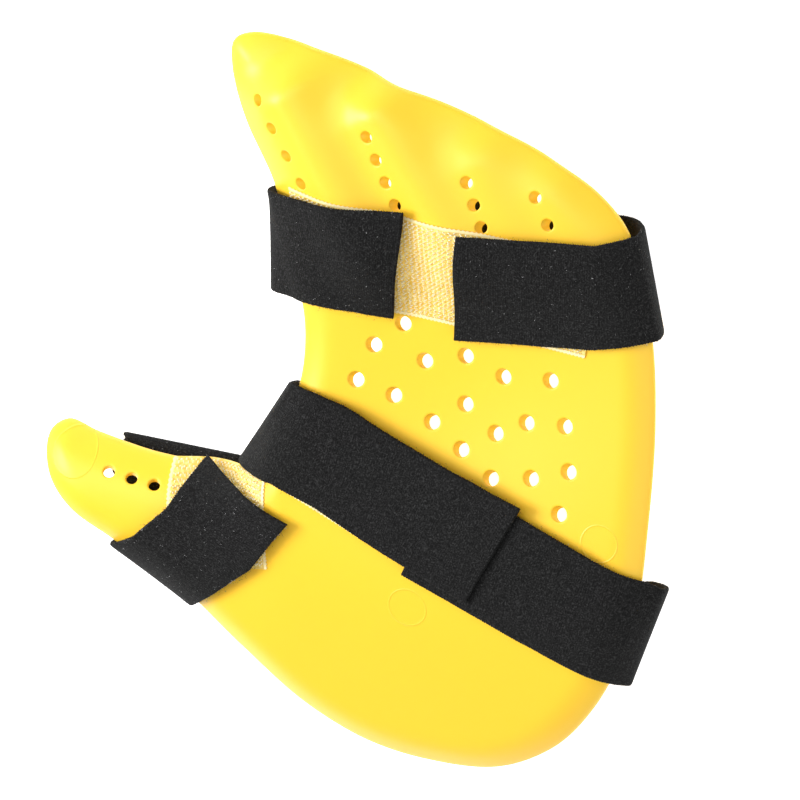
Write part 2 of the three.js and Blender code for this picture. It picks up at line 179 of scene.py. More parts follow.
@dataclass(frozen=True)
class Overall:
    """The board's overall sizes, which the places in the tables are shares of."""

    wide: float = 234.5
    long: float = 275.0
    high: float = 35.9

    def plan(self, shares: Any) -> Points:
        """Turn shares of the width and length into places in plan.

        Args:
            shares: Shares in the last axis.

        Returns:
            Millimetres.
        """
        return np.asarray(shares, float) * (self.wide, self.long)


BOARD = Overall()


@dataclass(frozen=True)
class Bulge:
    """A finger's bulge on the face, from tip to root."""

    tip: tuple[float, float]
    root: tuple[float, float]
    high: float
    wide: float


@dataclass(frozen=True)
class HoleRow:
    """Evenly spaced holes on a straight line."""

    first: tuple[float, float]
    last: tuple[float, float]
    holes: int
    lean: tuple[float, float] = (-0.7, 0.25)


@dataclass(frozen=True)
class Hole:
    """A hole's place in plan, its radius and how it leans off the face's normal."""

    x: float
    y: float
    radius: float
    lean: tuple[float, float]


@dataclass(frozen=True)
class FaceSize:
    """Sizes of the board and of its face."""

    wall: float = 3.0
    vent: float = 5.8
    groove_hole: float = 4.4
    vent_lean: tuple[float, float] = (-0.4, 0.28)
    crest: tuple[float, float] = (-0.06, -0.195)
    crest_slope: float = -0.17
    heel_fall: tuple[float, float] = (0.325, 26)
    palm_fall: tuple[float, float] = (0.075, 20)
    thumb_slope: float = 0.8
    thumb_ease: float = 14
    thumb_lag: float = 2
    thumb_reach: tuple[float, float] = (-0.307, -0.145)
    thumb_end: tuple[float, float] = (0.127, 0.218)
    dish: tuple[float, float] = (0.119, 0.036)
    dish_wide: float = 40
    dish_long: float = 32
    dish_deep: float = 6.5
    roll_width: float = 13
    roll_slope: float = 0.8
    tip_fade: float = 16
    root_fade: float = 34
    bulges: tuple[Bulge, ...] = (
        Bulge((-0.179, 0.484), (0.06, 0.145), 9.0, 10),
        Bulge((-0.034, 0.473), (0.213, 0.153), 7.5, 9),
        Bulge((0.132, 0.418), (0.307, 0.153), 3.6, 8),
        Bulge((0.252, 0.389), (0.384, 0.16), 2.2, 7),
    )
    rows: tuple[HoleRow, ...] = (
        HoleRow((-0.19, 0.427), (-0.115, 0.322), 4),
        HoleRow((-0.009, 0.396), (0.038, 0.307), 4),
        HoleRow((0.151, 0.347), (0.177, 0.289), 3),
        HoleRow((0.26, 0.335), (0.281, 0.3), 2),
        HoleRow((-0.441, -0.116), (-0.367, -0.127), 3, lean=(0.1, 0.1)),
    )
    vents: tuple[tuple[float, float], ...] = (
        (0.043, 0.138), (-0.004, 0.105), (0.077, 0.089), (0.143, 0.102), (-0.032, 0.055),
        (0.205, 0.08), (0.284, 0.084), (0.028, 0.038), (0.143, 0.036), (0.09, 0.007),
        (0.245, 0.022), (0.309, 0.025), (0.194, 0.002), (0.139, -0.025), (0.19, -0.058),
        (0.256, -0.051), (0.318, -0.035), (0.305, -0.093),
    )
    outline: tuple[tuple[float, float], ...] = (
        (-0.213, 0.509), (-0.098, 0.495), (0.026, 0.462), (0.132, 0.433), (0.256, 0.391),
        (0.35, 0.345), (0.403, 0.295), (0.423, 0.24), (0.446, 0.153), (0.454, 0.029),
        (0.446, -0.109), (0.433, -0.204),
        (0.399, -0.295), (0.345, -0.376), (0.271, -0.444), (0.171, -0.487), (0.055, -0.491),
        (-0.047, -0.473), (-0.145, -0.427), (-0.243, -0.351), (-0.341, -0.269), (-0.443, -0.215),
        (-0.51, -0.178), (-0.546, -0.131), (-0.552, -0.077), (-0.526, -0.061), (-0.473, -0.073),
        (-0.375, -0.091), (-0.264, -0.098), (-0.213, -0.091), (-0.171, -0.051), (-0.132, 0.036),
        (-0.124, 0.109), (-0.136, 0.178), (-0.175, 0.305), (-0.222, 0.385), (-0.249, 0.455),
        (-0.247, 0.495),
    )


class Face:
    """The board's face that shows, as a height over the plan."""

    def __init__(self, size: FaceSize) -> None:
        """Draw the outline and find where the plan lies in the frame.

        Args:
            size: Sizes of the face.
        """
        self.size = size
        ring = smooth_line(
            BOARD.plan(size.outline), [RIM_SAMPLES] * len(size.outline), closed=True)
        self.rim = evenly(np.vstack([ring, ring[:1]]), RIM_STEP)[:-1]
        low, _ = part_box("splint_board")
        self.shift = np.array([low[0] / MM, low[1] / MM]) - self.rim.min(axis=0)

    def rim_distance(self, x: Points, y: Points) -> Points:
        """Measure the distance from the rim, negative outside the board.

        Args:
            x: Places in plan.
            y: Places in plan.

        Returns:
            Distances.
        """
        places = np.stack([np.ravel(x), np.ravel(y)], axis=1).astype(float)
        start, end = self.rim, np.roll(self.rim, -1, axis=0)
        step = end - start
        result = np.empty(len(places))
        for low in range(0, len(places), CHUNK):
            some = places[low:low + CHUNK, None, :]
            along = ((some - start) * step).sum(2) / (step * step).sum(1)
            foot = start + np.clip(along, 0, 1)[..., None] * step
            far = np.linalg.norm(some - foot, axis=2).min(axis=1)
            over = (start[:, 1] > some[..., 1]) != (end[:, 1] > some[..., 1])
            rise = np.where(step[:, 1] == 0, 1e-9, step[:, 1])
            cross = start[:, 0] + (some[..., 1] - start[:, 1]) * step[:, 0] / rise
            inside = (over & (some[..., 0] < cross)).sum(axis=1) % 2 == 1
            result[low:low + CHUNK] = np.where(inside, far, -far)
        return result.reshape(np.shape(x))

    def rim_drop(self, x: Points, y: Points) -> Points:
        """Work out how far the rolled rim falls.

        Args:
            x: Places in plan.
            y: Places in plan.

        Returns:
            Drops below the face without its rim.
        """
        width, slope = self.size.roll_width, self.size.roll_slope
        distance = self.rim_distance(x, y)
        rolled = slope * (width - np.clip(distance, 0, width)) ** 2 / (2 * width)
        return np.where(distance < 0, slope * (width / 2 - distance), rolled)

    def bulge(self, x: Points, y: Points) -> Points:
        """Add up the bulges over the fingers.

        Args:
            x: Places in plan.
            y: Places in plan.

        Returns:
            Heights to add.
        """
        total = np.zeros(np.shape(x))
        for finger in self.size.bulges:
            tip, root = BOARD.plan(finger.tip), BOARD.plan(finger.root)
            length = float(np.linalg.norm(root - tip))
            way = (root - tip) / length
            along = (x - tip[0]) * way[0] + (y - tip[1]) * way[1]
            across = (x - tip[0]) * way[1] - (y - tip[1]) * way[0]
            start = ease_between(0, self.size.tip_fade, along)
            stop = 1 - ease_between(length - self.size.root_fade, length, along)
            total += finger.high * start * stop * np.exp(-across ** 2 / (2 * finger.wide ** 2))
        return total

    def height(self, x: Points, y: Points) -> Points:
        """Find the face's height.

        Args:
            x: Places in plan.
            y: Places in plan.

        Returns:
            Heights above the floor.
        """
        size = self.size
        crest_x, crest_y = BOARD.plan(size.crest)
        dish_x, dish_y = BOARD.plan(size.dish)
        from_crest = y - (crest_y + size.crest_slope * (x - crest_x))
        heel = size.heel_fall[0] * soft_ramp(-from_crest, size.heel_fall[1])
        palm = size.palm_fall[0] * soft_ramp(from_crest, size.palm_fall[1])
        outer, inner = (share * BOARD.wide for share in size.thumb_reach)
        start, end = (share * BOARD.long for share in size.thumb_end)
        on_thumb = (1 - ease_between(outer, inner, x)) * (1 - ease_between(start, end, from_crest))
        thumb = on_thumb * size.thumb_slope * soft_ramp(from_crest - size.thumb_lag, size.thumb_ease)
        across = (x - dish_x) / size.dish_wide
        along = (y - dish_y) / size.dish_long
        dish = size.dish_deep * np.exp(-(across ** 2 + along ** 2) / 2)
        return (BOARD.high - heel - palm - thumb - dish
                + self.bulge(x, y) - self.rim_drop(x, y))

    def normal(self, x: Points, y: Points) -> Points:
        """Find the face's outward direction.

        Args:
            x: Places in plan.
            y: Places in plan.

        Returns:
            Unit vectors in the last axis.
        """
        steep = np.stack([
            self.height(x - TILT_REACH, y) - self.height(x + TILT_REACH, y),
            self.height(x, y - TILT_REACH) - self.height(x, y + TILT_REACH),
            np.full(np.shape(x), 2 * TILT_REACH),
        ], axis=-1)
        return steep / np.linalg.norm(steep, axis=-1, keepdims=True)

    def lifted(self, x: Points, y: Points, lift: Points) -> Points:
        """Find the height of a layer that lies off the face.

        Args:
            x: Places in plan.
            y: Places in plan.
            lift: Distance from the face, across the layer.

        Returns:
            Heights above the floor.
        """
        return self.height(x, y) + lift / self.normal(x, y)[..., 2]

    def holes(self) -> list[Hole]:
        """List the holes.

        Returns:
            The palm holes, then the rows.
        """
        found = [Hole(float(x), float(y), self.size.vent / 2, self.size.vent_lean)
                 for x, y in BOARD.plan(self.size.vents)]
        for row in self.size.rows:
            for share in np.linspace(0, 1, row.holes):
                x, y = BOARD.plan(row.first + share * np.subtract(row.last, row.first))
                found.append(Hole(float(x), float(y), self.size.groove_hole / 2, row.lean))
        return found

    def to_frame(self, points: Points) -> Points:
        """Move plan points into the frame, in metres.

        Args:
            points: Millimetres in plan and height, in the last axis.

        Returns:
            The points in the row's frame.
        """
        return (points + np.array([self.shift[0], self.shift[1], 0.0])) * MM


def evenly(line: Points, step: float) -> Points:
    """Space a line's samples evenly.

    Args:
        line: Samples in order.
        step: Distance wanted between them.

    Returns:
        New samples with the same ends.
    """
    along = np.concatenate([[0], np.cumsum(np.linalg.norm(np.diff(line, axis=0), axis=1))])
    wanted = np.linspace(0, along[-1], max(3, round(along[-1] / step) + 1))
    return np.stack([np.interp(wanted, along, line[:, axis]) for axis in range(line.shape[1])], axis=1)


# Making meshes


def make_object(name: str, points: Points, faces: Iterable[Sequence[int]]) -> bpy.types.Object:
    """Make a mesh object with smooth faces that point out.

    Args:
        name: Name of the piece.
        points: Places in the frame, in metres.
        faces: Corners of each face.

    Returns:
        The object, linked to the scene.
    """
    mesh = bpy.data.meshes.new(name)
    mesh.from_pydata(points.reshape(-1, 3).tolist(), [], [list(map(int, face)) for face in faces])
    mesh.validate()
    piece = bpy.data.objects.new(name, mesh)
    bpy.context.scene.collection.objects.link(piece)
    bpy.ops.object.select_all(action="DESELECT")
    piece.select_set(True)
    bpy.context.view_layer.objects.active = piece
    bpy.ops.object.shade_smooth_by_angle(angle=SHARP)
    LOG.info("%s: %d faces", name, len(mesh.polygons))
    return piece


def lay_flat(piece: bpy.types.Object, flat: Points) -> None:
    """Keep where each point of a piece lies in the flat cut.

    Args:
        piece: The piece.
        flat: Distance along and across the cut for each point, in millimetres.
    """
    corners = np.empty(len(piece.data.loops), dtype=int)
    piece.data.loops.foreach_get("vertex_index", corners)
    layer = piece.data.uv_layers.new(name=FLAT)
    layer.data.foreach_set("uv", flat.reshape(-1, 2)[corners].astype(np.float32).ravel())


def grid_faces(rows: int, columns: int, start: int = 0, turned: bool = False) -> list[tuple[int, ...]]:
    """List the quads of a grid of points.

    Args:
        rows: Number of rows.
        columns: Points in a row.
        start: Index of the first point.
        turned: Whether the quads face the other way.

    Returns:
        Corners of each quad.
    """
    quads = []
    for row in range(rows - 1):
        for column in range(columns - 1):
            corner = start + row * columns + column
            quad = (corner, corner + 1, corner + columns + 1, corner + columns)
            quads.append(quad[::-1] if turned else quad)
    return quads


def closed_layer(over: Points, under: Points) -> tuple[Points, list[tuple[int, ...]]]:
    """Close the body between two grids of points.

    Args:
        over: Grid on the side that faces out.
        under: Grid on the other side.

    Returns:
        Points and faces.
    """
    rows, columns = over.shape[:2]
    size = rows * columns
    faces = grid_faces(rows, columns) + grid_faces(rows, columns, size, turned=True)
    first = list(range(columns))
    right = [row * columns + columns - 1 for row in range(1, rows)]
    last = [(rows - 1) * columns + column for column in range(columns - 2, -1, -1)]
    left = [row * columns for row in range(rows - 2, 0, -1)]
    border = first + right + last + left
    for place, corner in enumerate(border):
        following = border[(place + 1) % len(border)]
        faces.append((corner, corner + size, following + size, following))
    return np.concatenate([over.reshape(-1, 3), under.reshape(-1, 3)]), faces


# Finishes


def add_node(tree: bpy.types.NodeTree, kind: str, inputs: Optional[dict[Any, Any]] = None,
             **settings: Any) -> bpy.types.Node:
    """Add a shader node.

    Args:
        tree: Tree to add to.
        kind: Node type without its ShaderNode prefix.
        inputs: Value or output socket for each input, by name or number.
        settings: Attributes of the node.

    Returns:
        The node.
    """
    made = tree.nodes.new("ShaderNode" + kind)
    for name, value in settings.items():
        setattr(made, name, value)
    for key, value in (inputs or {}).items():
        if isinstance(value, bpy.types.NodeSocket):
            tree.links.new(value, made.inputs[key])
        else:
            made.inputs[key].default_value = value
    return made


def ramp(tree: bpy.types.NodeTree, value: bpy.types.NodeSocket,
         stops: Sequence[tuple[float, Colour]]) -> bpy.types.NodeSocket:
    """Colour a value.

    Args:
        tree: Tree to add to.
        value: Value from 0 to 1.
        stops: Place and colour of each stop.

    Returns:
        The colour.
    """
    made = add_node(tree, "ValToRGB", {"Fac": value})
    elements = made.color_ramp.elements
    while len(elements) < len(stops):
        elements.new(0.5)
    for element, (place, colour) in zip(elements, stops):
        element.position = place
        element.color = colour
    return made.outputs["Color"]


def new_material(name: str) -> tuple[bpy.types.Material, bpy.types.NodeTree, bpy.types.NodeSocket]:
    """Start a material with an empty tree.

    Args:
        name: Name of the material.

    Returns:
        The material, its tree and the socket that the shader goes into.
    """
    material = bpy.data.materials.new(name)
    material.use_nodes = True
    tree = material.node_tree
    tree.nodes.clear()
    output = add_node(tree, "OutputMaterial")
    return material, tree, output.inputs["Surface"]


@dataclass(frozen=True)
class Ring:
    """A round witness line on the face."""

    x: float
    y: float
    radius: float


@dataclass(frozen=True)
class Plastic:
    """Injection-moulded polypropylene from a satin mould, with faint ejector rings."""

    # The satin mould gives a broad soft shine, the unfilled plastic a slight glow at its edges,
    # and the ejector pins thin raised rings
    colour: str = "F8C832"
    roughness: float = 0.4
    glow: float = 0.12
    glow_depth: float = 2.5
    ring_width: float = 0.5
    ring_high: float = 0.12
    grain_scale: float = 900
    grain_high: float = 0.012
    cloud_scale: float = 18
    rings: tuple[Ring, ...] = (
        Ring(87.3, -34.7, 6.9), Ring(13.3, -68.2, 7.2), Ring(-117.5, -27.1, 8.2))

    def build(self, face: Face) -> bpy.types.Material:
        """Make the material.

        Args:
            face: Face that the rings lie on.

        Returns:
            The material.
        """
        material, tree, surface = new_material("moulded_polypropylene")
        place = add_node(tree, "TexCoord").outputs["Object"]
        flat = add_node(tree, "VectorMath", {0: place, 1: (1, 1, 0)}, operation="MULTIPLY")
        height: Any = 0.0
        for ring in self.rings:
            x, y = face.to_frame(np.array([ring.x, ring.y, 0.0]))[:2]
            far = add_node(tree, "VectorMath", {0: flat.outputs[0], 1: (x, y, 0)}, operation="DISTANCE")
            off = add_node(tree, "Math", {0: far.outputs["Value"], 1: ring.radius * MM},
                           operation="SUBTRACT")
            away = add_node(tree, "Math", {0: off.outputs[0]}, operation="ABSOLUTE")
            bead = add_node(tree, "MapRange", {
                "Value": away.outputs[0], "From Min": 0, "From Max": self.ring_width * MM,
                "To Min": self.ring_high * MM, "To Max": 0,
            }, interpolation_type="SMOOTHSTEP")
            height = add_node(tree, "Math", {0: bead.outputs[0], 1: height}).outputs[0]
        grain = add_node(tree, "TexNoise", {"Vector": place, "Scale": self.grain_scale, "Detail": 3})
        fine = add_node(tree, "Math", {0: grain.outputs["Fac"], 1: self.grain_high * MM},
                        operation="MULTIPLY")
        total = add_node(tree, "Math", {0: fine.outputs[0], 1: height})
        bump = add_node(tree, "Bump", {
            "Height": total.outputs[0], "Strength": 1.0, "Distance": 1.0})
        cloud = add_node(tree, "TexNoise", {"Vector": place, "Scale": self.cloud_scale, "Detail": 2})
        rough = add_node(tree, "MapRange", {
            "Value": cloud.outputs["Fac"], "To Min": self.roughness - 0.04,
            "To Max": self.roughness + 0.05})
        shader = add_node(tree, "BsdfPrincipled", {
            "Base Color": linear(self.colour), "Roughness": rough.outputs[0],
            "Subsurface Weight": self.glow, "Subsurface Radius": (1.0, 0.6, 0.15),
            "Subsurface Scale": self.glow_depth * MM, "Specular IOR Level": 0.4,
            "Normal": bump.outputs[0]})
        tree.links.new(shader.outputs[0], surface)
        return material


@dataclass(frozen=True)
class LoopFabric:
    """Knitted nylon loop fabric, dyed black and brushed, with grey fibres in it."""

    # The brushing breaks the loops, so the surface is matt and mottled, with faint ribs across.
    # The single fibres are drawn coarser than real ones, which would be too fine to see
    dark: str = "0A0A0A"
    colour: str = "181818"
    light: str = "363636"
    roughness: float = 0.95
    fibre_scale: float = 1700
    clump_scale: float = 420
    deep: float = 0.3
    rib_pitch: float = 0.9
    rib_deep: float = 0.35

    def build(self) -> bpy.types.Material:
        """Make the material.

        Returns:
            The material.
        """
        material, tree, surface = new_material("brushed_nylon_loop")
        place = add_node(tree, "TexCoord").outputs["Object"]
        clumps = add_node(tree, "TexNoise", {
            "Vector": place, "Scale": self.clump_scale, "Detail": 4, "Roughness": 0.7})
        warp = add_node(tree, "TexNoise", {"Vector": place, "Scale": self.clump_scale / 2, "Detail": 2})
        shifted = add_node(tree, "VectorMath", {
            0: warp.outputs["Color"], 1: (0.004, 0.004, 0.004), 2: place}, operation="MULTIPLY_ADD")
        fibres = add_node(tree, "TexNoise", {
            "Vector": shifted.outputs[0], "Scale": self.fibre_scale, "Detail": 3, "Roughness": 0.6})
        shade = ramp(tree, fibres.outputs["Fac"], (
            (0.36, linear(self.dark)), (0.52, linear(self.colour)), (0.72, linear(self.light))))
        flat = add_node(tree, "UVMap", uv_map=FLAT).outputs[0]
        # The weft ribs run across the strap and break up along it
        broken = add_node(tree, "VectorMath", {
            0: warp.outputs["Color"], 1: (0.9, 0, 0), 2: flat}, operation="MULTIPLY_ADD")
        ribs = add_node(tree, "TexWave", {
            "Vector": broken.outputs[0], "Scale": math.tau / (20 * self.rib_pitch)},
            wave_type="BANDS", bands_direction="X", wave_profile="SIN")
        tall = add_node(tree, "Math", {0: fibres.outputs["Fac"], 1: clumps.outputs["Fac"]})
        tall = add_node(tree, "Math", {
            0: ribs.outputs["Fac"], 1: self.rib_deep, 2: tall.outputs[0]}, operation="MULTIPLY_ADD")
        bump = add_node(tree, "Bump", {
            "Height": tall.outputs[0], "Strength": 0.7, "Distance": self.deep * MM})
        shader = add_node(tree, "BsdfPrincipled", {
            "Base Color": shade, "Roughness": self.roughness, "Specular IOR Level": 0.15,
            "Sheen Weight": 0.06, "Sheen Roughness": 0.6, "Sheen Tint": linear("8A8A8A"),
            "Normal": bump.outputs[0]})
        tree.links.new(shader.outputs[0], surface)
        return material

    def build_nap(self) -> bpy.types.Material:
        """Make the material of single fibres.

        Returns:
            The material.
        """
        material, tree, surface = new_material("loose_nylon_fibre")
        place = add_node(tree, "TexCoord").outputs["Object"]
        tone = add_node(tree, "TexNoise", {"Vector": place, "Scale": 700, "Detail": 2})
        shade = ramp(tree, tone.outputs["Fac"], (
            (0.45, linear("1A1A1A")), (0.6, linear("303030")), (0.68, linear("B4B4B4"))))
        shader = add_node(tree, "BsdfPrincipled", {"Base Color": shade, "Roughness": 0.8})
        tree.links.new(shader.outputs[0], surface)
        return material


@dataclass(frozen=True)
class HookNylon:
    """Undyed nylon line, woven in as loops and cut open into hooks."""

    # Smooth undyed line lets light through, so the hooks are pale with small bright tips
    colour: str = "FFF0C0"
    light: str = "FFFBEA"
    roughness: float = 0.35
    glow: float = 0.3

    def build(self) -> bpy.types.Material:
        """Make the material.

        Returns:
            The material.
        """
        material, tree, surface = new_material("cut_nylon_hooks")
        place = add_node(tree, "TexCoord").outputs["Object"]
        tone = add_node(tree, "TexNoise", {"Vector": place, "Scale": 260, "Detail": 3})
        shade = ramp(tree, tone.outputs["Fac"], (
            (0.3, linear(self.colour)), (0.8, linear(self.light))))
        shader = add_node(tree, "BsdfPrincipled", {
            "Base Color": shade, "Roughness": self.roughness,
            "Subsurface Weight": self.glow, "Subsurface Radius": (1.0, 0.8, 0.5),
            "Subsurface Scale": 1.0 * MM})
        tree.links.new(shader.outputs[0], surface)
        return material


@dataclass(frozen=True)
class HookBacking:
    """Thin woven nylon tape that the board's yellow shows through, with paler selvages."""

    # The weave gives small dark knots between threads, and the dense selvages are paler
    ground: str = "FBE394"
    knots: str = "EFC555"
    selvage: str = "FCE7AE"
    roughness: float = 0.45
    soft: float = 0.25

    def build(self) -> bpy.types.Material:
        """Make the material.

        Returns:
            The material.
        """
        material, tree, surface = new_material("woven_nylon_tape")
        place = add_node(tree, "TexCoord").outputs["Object"]
        flat = add_node(tree, "UVMap", uv_map=FLAT).outputs[0]
        weave = add_node(tree, "TexVoronoi", {"Vector": place, "Scale": 650})
        ground = ramp(tree, weave.outputs["Distance"], (
            (0.1, linear(self.ground)), (0.7, linear(self.knots))))
        past = add_node(tree, "SeparateXYZ", {0: flat}).outputs["Y"]
        at_edge = add_node(tree, "MapRange", {
            "Value": past, "From Min": -self.soft, "From Max": self.soft})
        shade = add_node(tree, "Mix", {
            "Factor": at_edge.outputs[0], 6: ground, 7: linear(self.selvage)}, data_type="RGBA")
        bump = add_node(tree, "Bump", {
            "Height": weave.outputs["Distance"], "Strength": 0.5, "Distance": 0.15 * MM})
        shader = add_node(tree, "BsdfPrincipled", {
            "Base Color": shade.outputs[2], "Roughness": self.roughness,
            "Subsurface Weight": 0.25, "Subsurface Radius": (1.0, 0.8, 0.4),
            "Subsurface Scale": 1.0 * MM, "Normal": bump.outputs[0]})
        tree.links.new(shader.outputs[0], surface)
        return material


# The board


@dataclass(frozen=True)
class BoardMesh:
    """How finely the shell is drawn."""

    step: float = 1.9
    rim_rings: tuple[float, ...] = (0.0, 0.22, 0.6, 1.05, 1.6, 2.6)
    hole_round: float = 0.55
    hole_rings: tuple[float, ...] = (0.0, 0.12, 0.32, 0.6, 1.2)
    hole_sides: int = 32
    lean_full: float = 0.3
    lean_end: float = 4.5


class Board:
    """The moulded shell."""

    def __init__(self, face: Face, mesh: BoardMesh = BoardMesh()) -> None:
        """Keep the sizes.

        Args:
            face: The shell's outer face.
            mesh: How finely it is drawn.
        """
        self.face = face
        self.mesh = mesh

    def rim_points(self) -> tuple[Points, Points]:
        """Place rings of points along the rim.

        Returns:
            The points and the distance of each from the rim.
        """
        rim = self.face.rim
        ahead = np.roll(rim, -1, axis=0) - np.roll(rim, 1, axis=0)
        ahead /= np.linalg.norm(ahead, axis=1, keepdims=True)
        inward = np.stack([-ahead[:, 1], ahead[:, 0]], axis=1)
        if self.face.rim_distance(*(rim[:1] + inward[:1]).T)[0] < 0:
            inward = -inward
        rings = [rim + inward * far for far in self.mesh.rim_rings]
        return np.vstack(rings), np.repeat(self.mesh.rim_rings, len(rim))

    def hole_points(self) -> tuple[Points, Points]:
        """Place rings of points round each hole, square to the face.

        Returns:
            The points and the distance of each from its hole.
        """
        points, distance = [], []
        turn = np.linspace(0, 2 * math.pi, self.mesh.hole_sides, endpoint=False)
        for hole in self.face.holes():
            nx, ny, nz = self.face.normal(np.array(hole.x), np.array(hole.y))
            flat = math.hypot(nx, ny) or 1.0
            down = np.array([nx, ny]) / flat
            level = np.array([-down[1], down[0]])
            for far in self.mesh.hole_rings:
                reach = hole.radius + far
                ring = (np.cos(turn)[:, None] * level + np.sin(turn)[:, None] * down * nz) * reach
                points.append(ring + (hole.x, hole.y))
                distance.append(np.full(len(turn), far))
        return np.vstack(points), np.concatenate(distance)

    def build(self) -> bpy.types.Object:
        """Model the shell with a rounded rim and rounded holes.

        Returns:
            The shell.
        """
        size, face = self.mesh, self.face
        rim, rim_far = self.rim_points()
        hole, hole_far = self.hole_points()
        holes = face.holes()
        low, high = face.rim.min(axis=0), face.rim.max(axis=0)
        rise = size.step * math.sqrt(3) / 2
        lattice = np.array([
            (low[0] + (column + 0.5 * (row % 2)) * size.step, low[1] + row * rise)
            for row in range(int((high[1] - low[1]) / rise) + 1)
            for column in range(int((high[0] - low[0]) / size.step) + 1)
        ])
        clear = face.rim_distance(*lattice.T) > size.rim_rings[-1] + 0.6 * size.step
        for spot in holes:
            near = np.hypot(lattice[:, 0] - spot.x, lattice[:, 1] - spot.y)
            clear &= near > spot.radius + size.hole_rings[-1] + 0.5 * size.step
        plan = np.vstack([rim, hole, lattice[clear]])
        border = len(face.rim)
        edges = [(place, (place + 1) % border) for place in range(border)]
        rings, sides = len(size.hole_rings), size.hole_sides
        starts = [len(rim) + number * rings * sides for number in range(len(holes))]
        for start in starts:
            edges += [(start + place, start + (place + 1) % sides) for place in range(sides)]
        middle = plan.mean(axis=0)
        got = geometry.delaunay_2d_cdt(
            [Vector(point) for point in (plan - middle).tolist()], edges, [], 0, 1e-5)
        source = [group[0] for group in got[3]]
        triangles = np.array([[source[corner] for corner in loop] for loop in got[2]])
        centres = plan[triangles].mean(axis=1)
        keep = face.rim_distance(*centres.T) > 0
        for start in starts:
            inner = (triangles >= start) & (triangles < start + sides)
            keep &= ~inner.all(axis=1)
        triangles = triangles[keep]
        a, b, c = (plan[triangles[:, corner]] for corner in range(3))
        turned = np.cross(b - a, c - a) < 0
        triangles[turned] = triangles[turned][:, ::-1]

        x, y = plan.T
        top = np.stack([x, y, face.height(x, y)], axis=1)
        normal = face.normal(x, y)
        half = face.size.wall / 2
        sunk = np.zeros(len(plan))
        sunk[:len(rim)] = self.rounding(rim_far, half)
        sunk[len(rim):len(rim) + len(hole)] = self.rounding(hole_far, size.hole_round)
        over = top - normal * sunk[:, None]
        under = top - normal * (face.size.wall - sunk)[:, None]
        under[:, :2] -= self.lean(plan)
        count = len(plan)
        lower = np.arange(count) + count
        lower[:border] = np.arange(border)
        faces = [tuple(triangle) for triangle in triangles]
        faces += [tuple(lower[triangle[::-1]]) for triangle in triangles]
        for start in starts:
            for place in range(sides):
                one, two = start + place, start + (place + 1) % sides
                faces.append((one, two, int(lower[two]), int(lower[one])))
        piece = make_object("splint_shell", face.to_frame(np.vstack([over, under])), faces)
        tidy_normals(piece)
        return piece

    def lean(self, plan: Points) -> Points:
        """Find how far the underside moves where a hole leans off the face's normal.

        Args:
            plan: Places in plan.

        Returns:
            Moves in plan.
        """
        moved = np.zeros(plan.shape)
        for hole in self.face.holes():
            far = np.hypot(plan[:, 0] - hole.x, plan[:, 1] - hole.y) - hole.radius
            share = 1 - ease_between(self.mesh.lean_full, self.mesh.lean_end, far)
            moved += share[:, None] * np.array(hole.lean) * self.face.size.wall
        return moved

    @staticmethod
    def rounding(far: Points, radius: float) -> Points:
        """Find how far a rounded edge sinks.

        Args:
            far: Distances from the edge.
            radius: Radius of the rounding.

        Returns:
            Depths below the face.
        """
        reach = np.clip(radius - far, 0, radius)
        return radius - np.sqrt(radius ** 2 - reach ** 2)


def tidy_normals(piece: bpy.types.Object) -> None:
    """Drop loose points and turn the faces out.

    Args:
        piece: Piece to tidy.
    """
    bpy.ops.object.select_all(action="DESELECT")
    piece.select_set(True)
    bpy.context.view_layer.objects.active = piece
    bpy.ops.object.mode_set(mode="EDIT")
    bpy.ops.mesh.select_all(action="SELECT")
    bpy.ops.mesh.delete_loose()
    bpy.ops.mesh.select_all(action="SELECT")
    bpy.ops.mesh.normals_make_consistent(inside=False)
    bpy.ops.object.mode_set(mode="OBJECT")


# Straps


@dataclass(frozen=True)
class Layers:
    """Thicknesses of what lies on the face."""

    gap: float = 0.3
    tape: float = 1.2
    strap: float = 1.8
    slack: float = 0.8
    flutes: float = 0.5

    @property
    def on_tape(self) -> float:
        """Height of a strap's middle on hook tape."""
        return self.gap + self.tape + self.slack + self.strap / 2

    @property
    def on_rim(self) -> float:
        """Height of a strap's middle on the bare board."""
        return self.gap + self.slack + self.strap / 2

    @property
    def on_flutes(self) -> float:
        """Height of a strap's middle on hook tape over the flutes."""
        return self.on_tape + self.flutes

    @property
    def on_strap(self) -> float:
        """Height of a strap's middle on another layer of strap."""
        return self.on_tape + self.strap + self.gap

    @property
    def floor(self) -> float:
        """Height of a strap's middle on the floor."""
        return self.strap / 2


LAYERS = Layers()


@dataclass(frozen=True)
class Place:
    """A place along a strap: its two edges in plan, and a lift or two heights over the floor."""

    a: tuple[float, float]
    b: tuple[float, float]
    lift: Optional[float] = None
    z: Optional[tuple[float, float]] = None


@dataclass(frozen=True)
class StrapSize:
    """A strap's route and cut."""

    node: str
    width: float
    places: tuple[Place, ...]
    held: str = "folded"


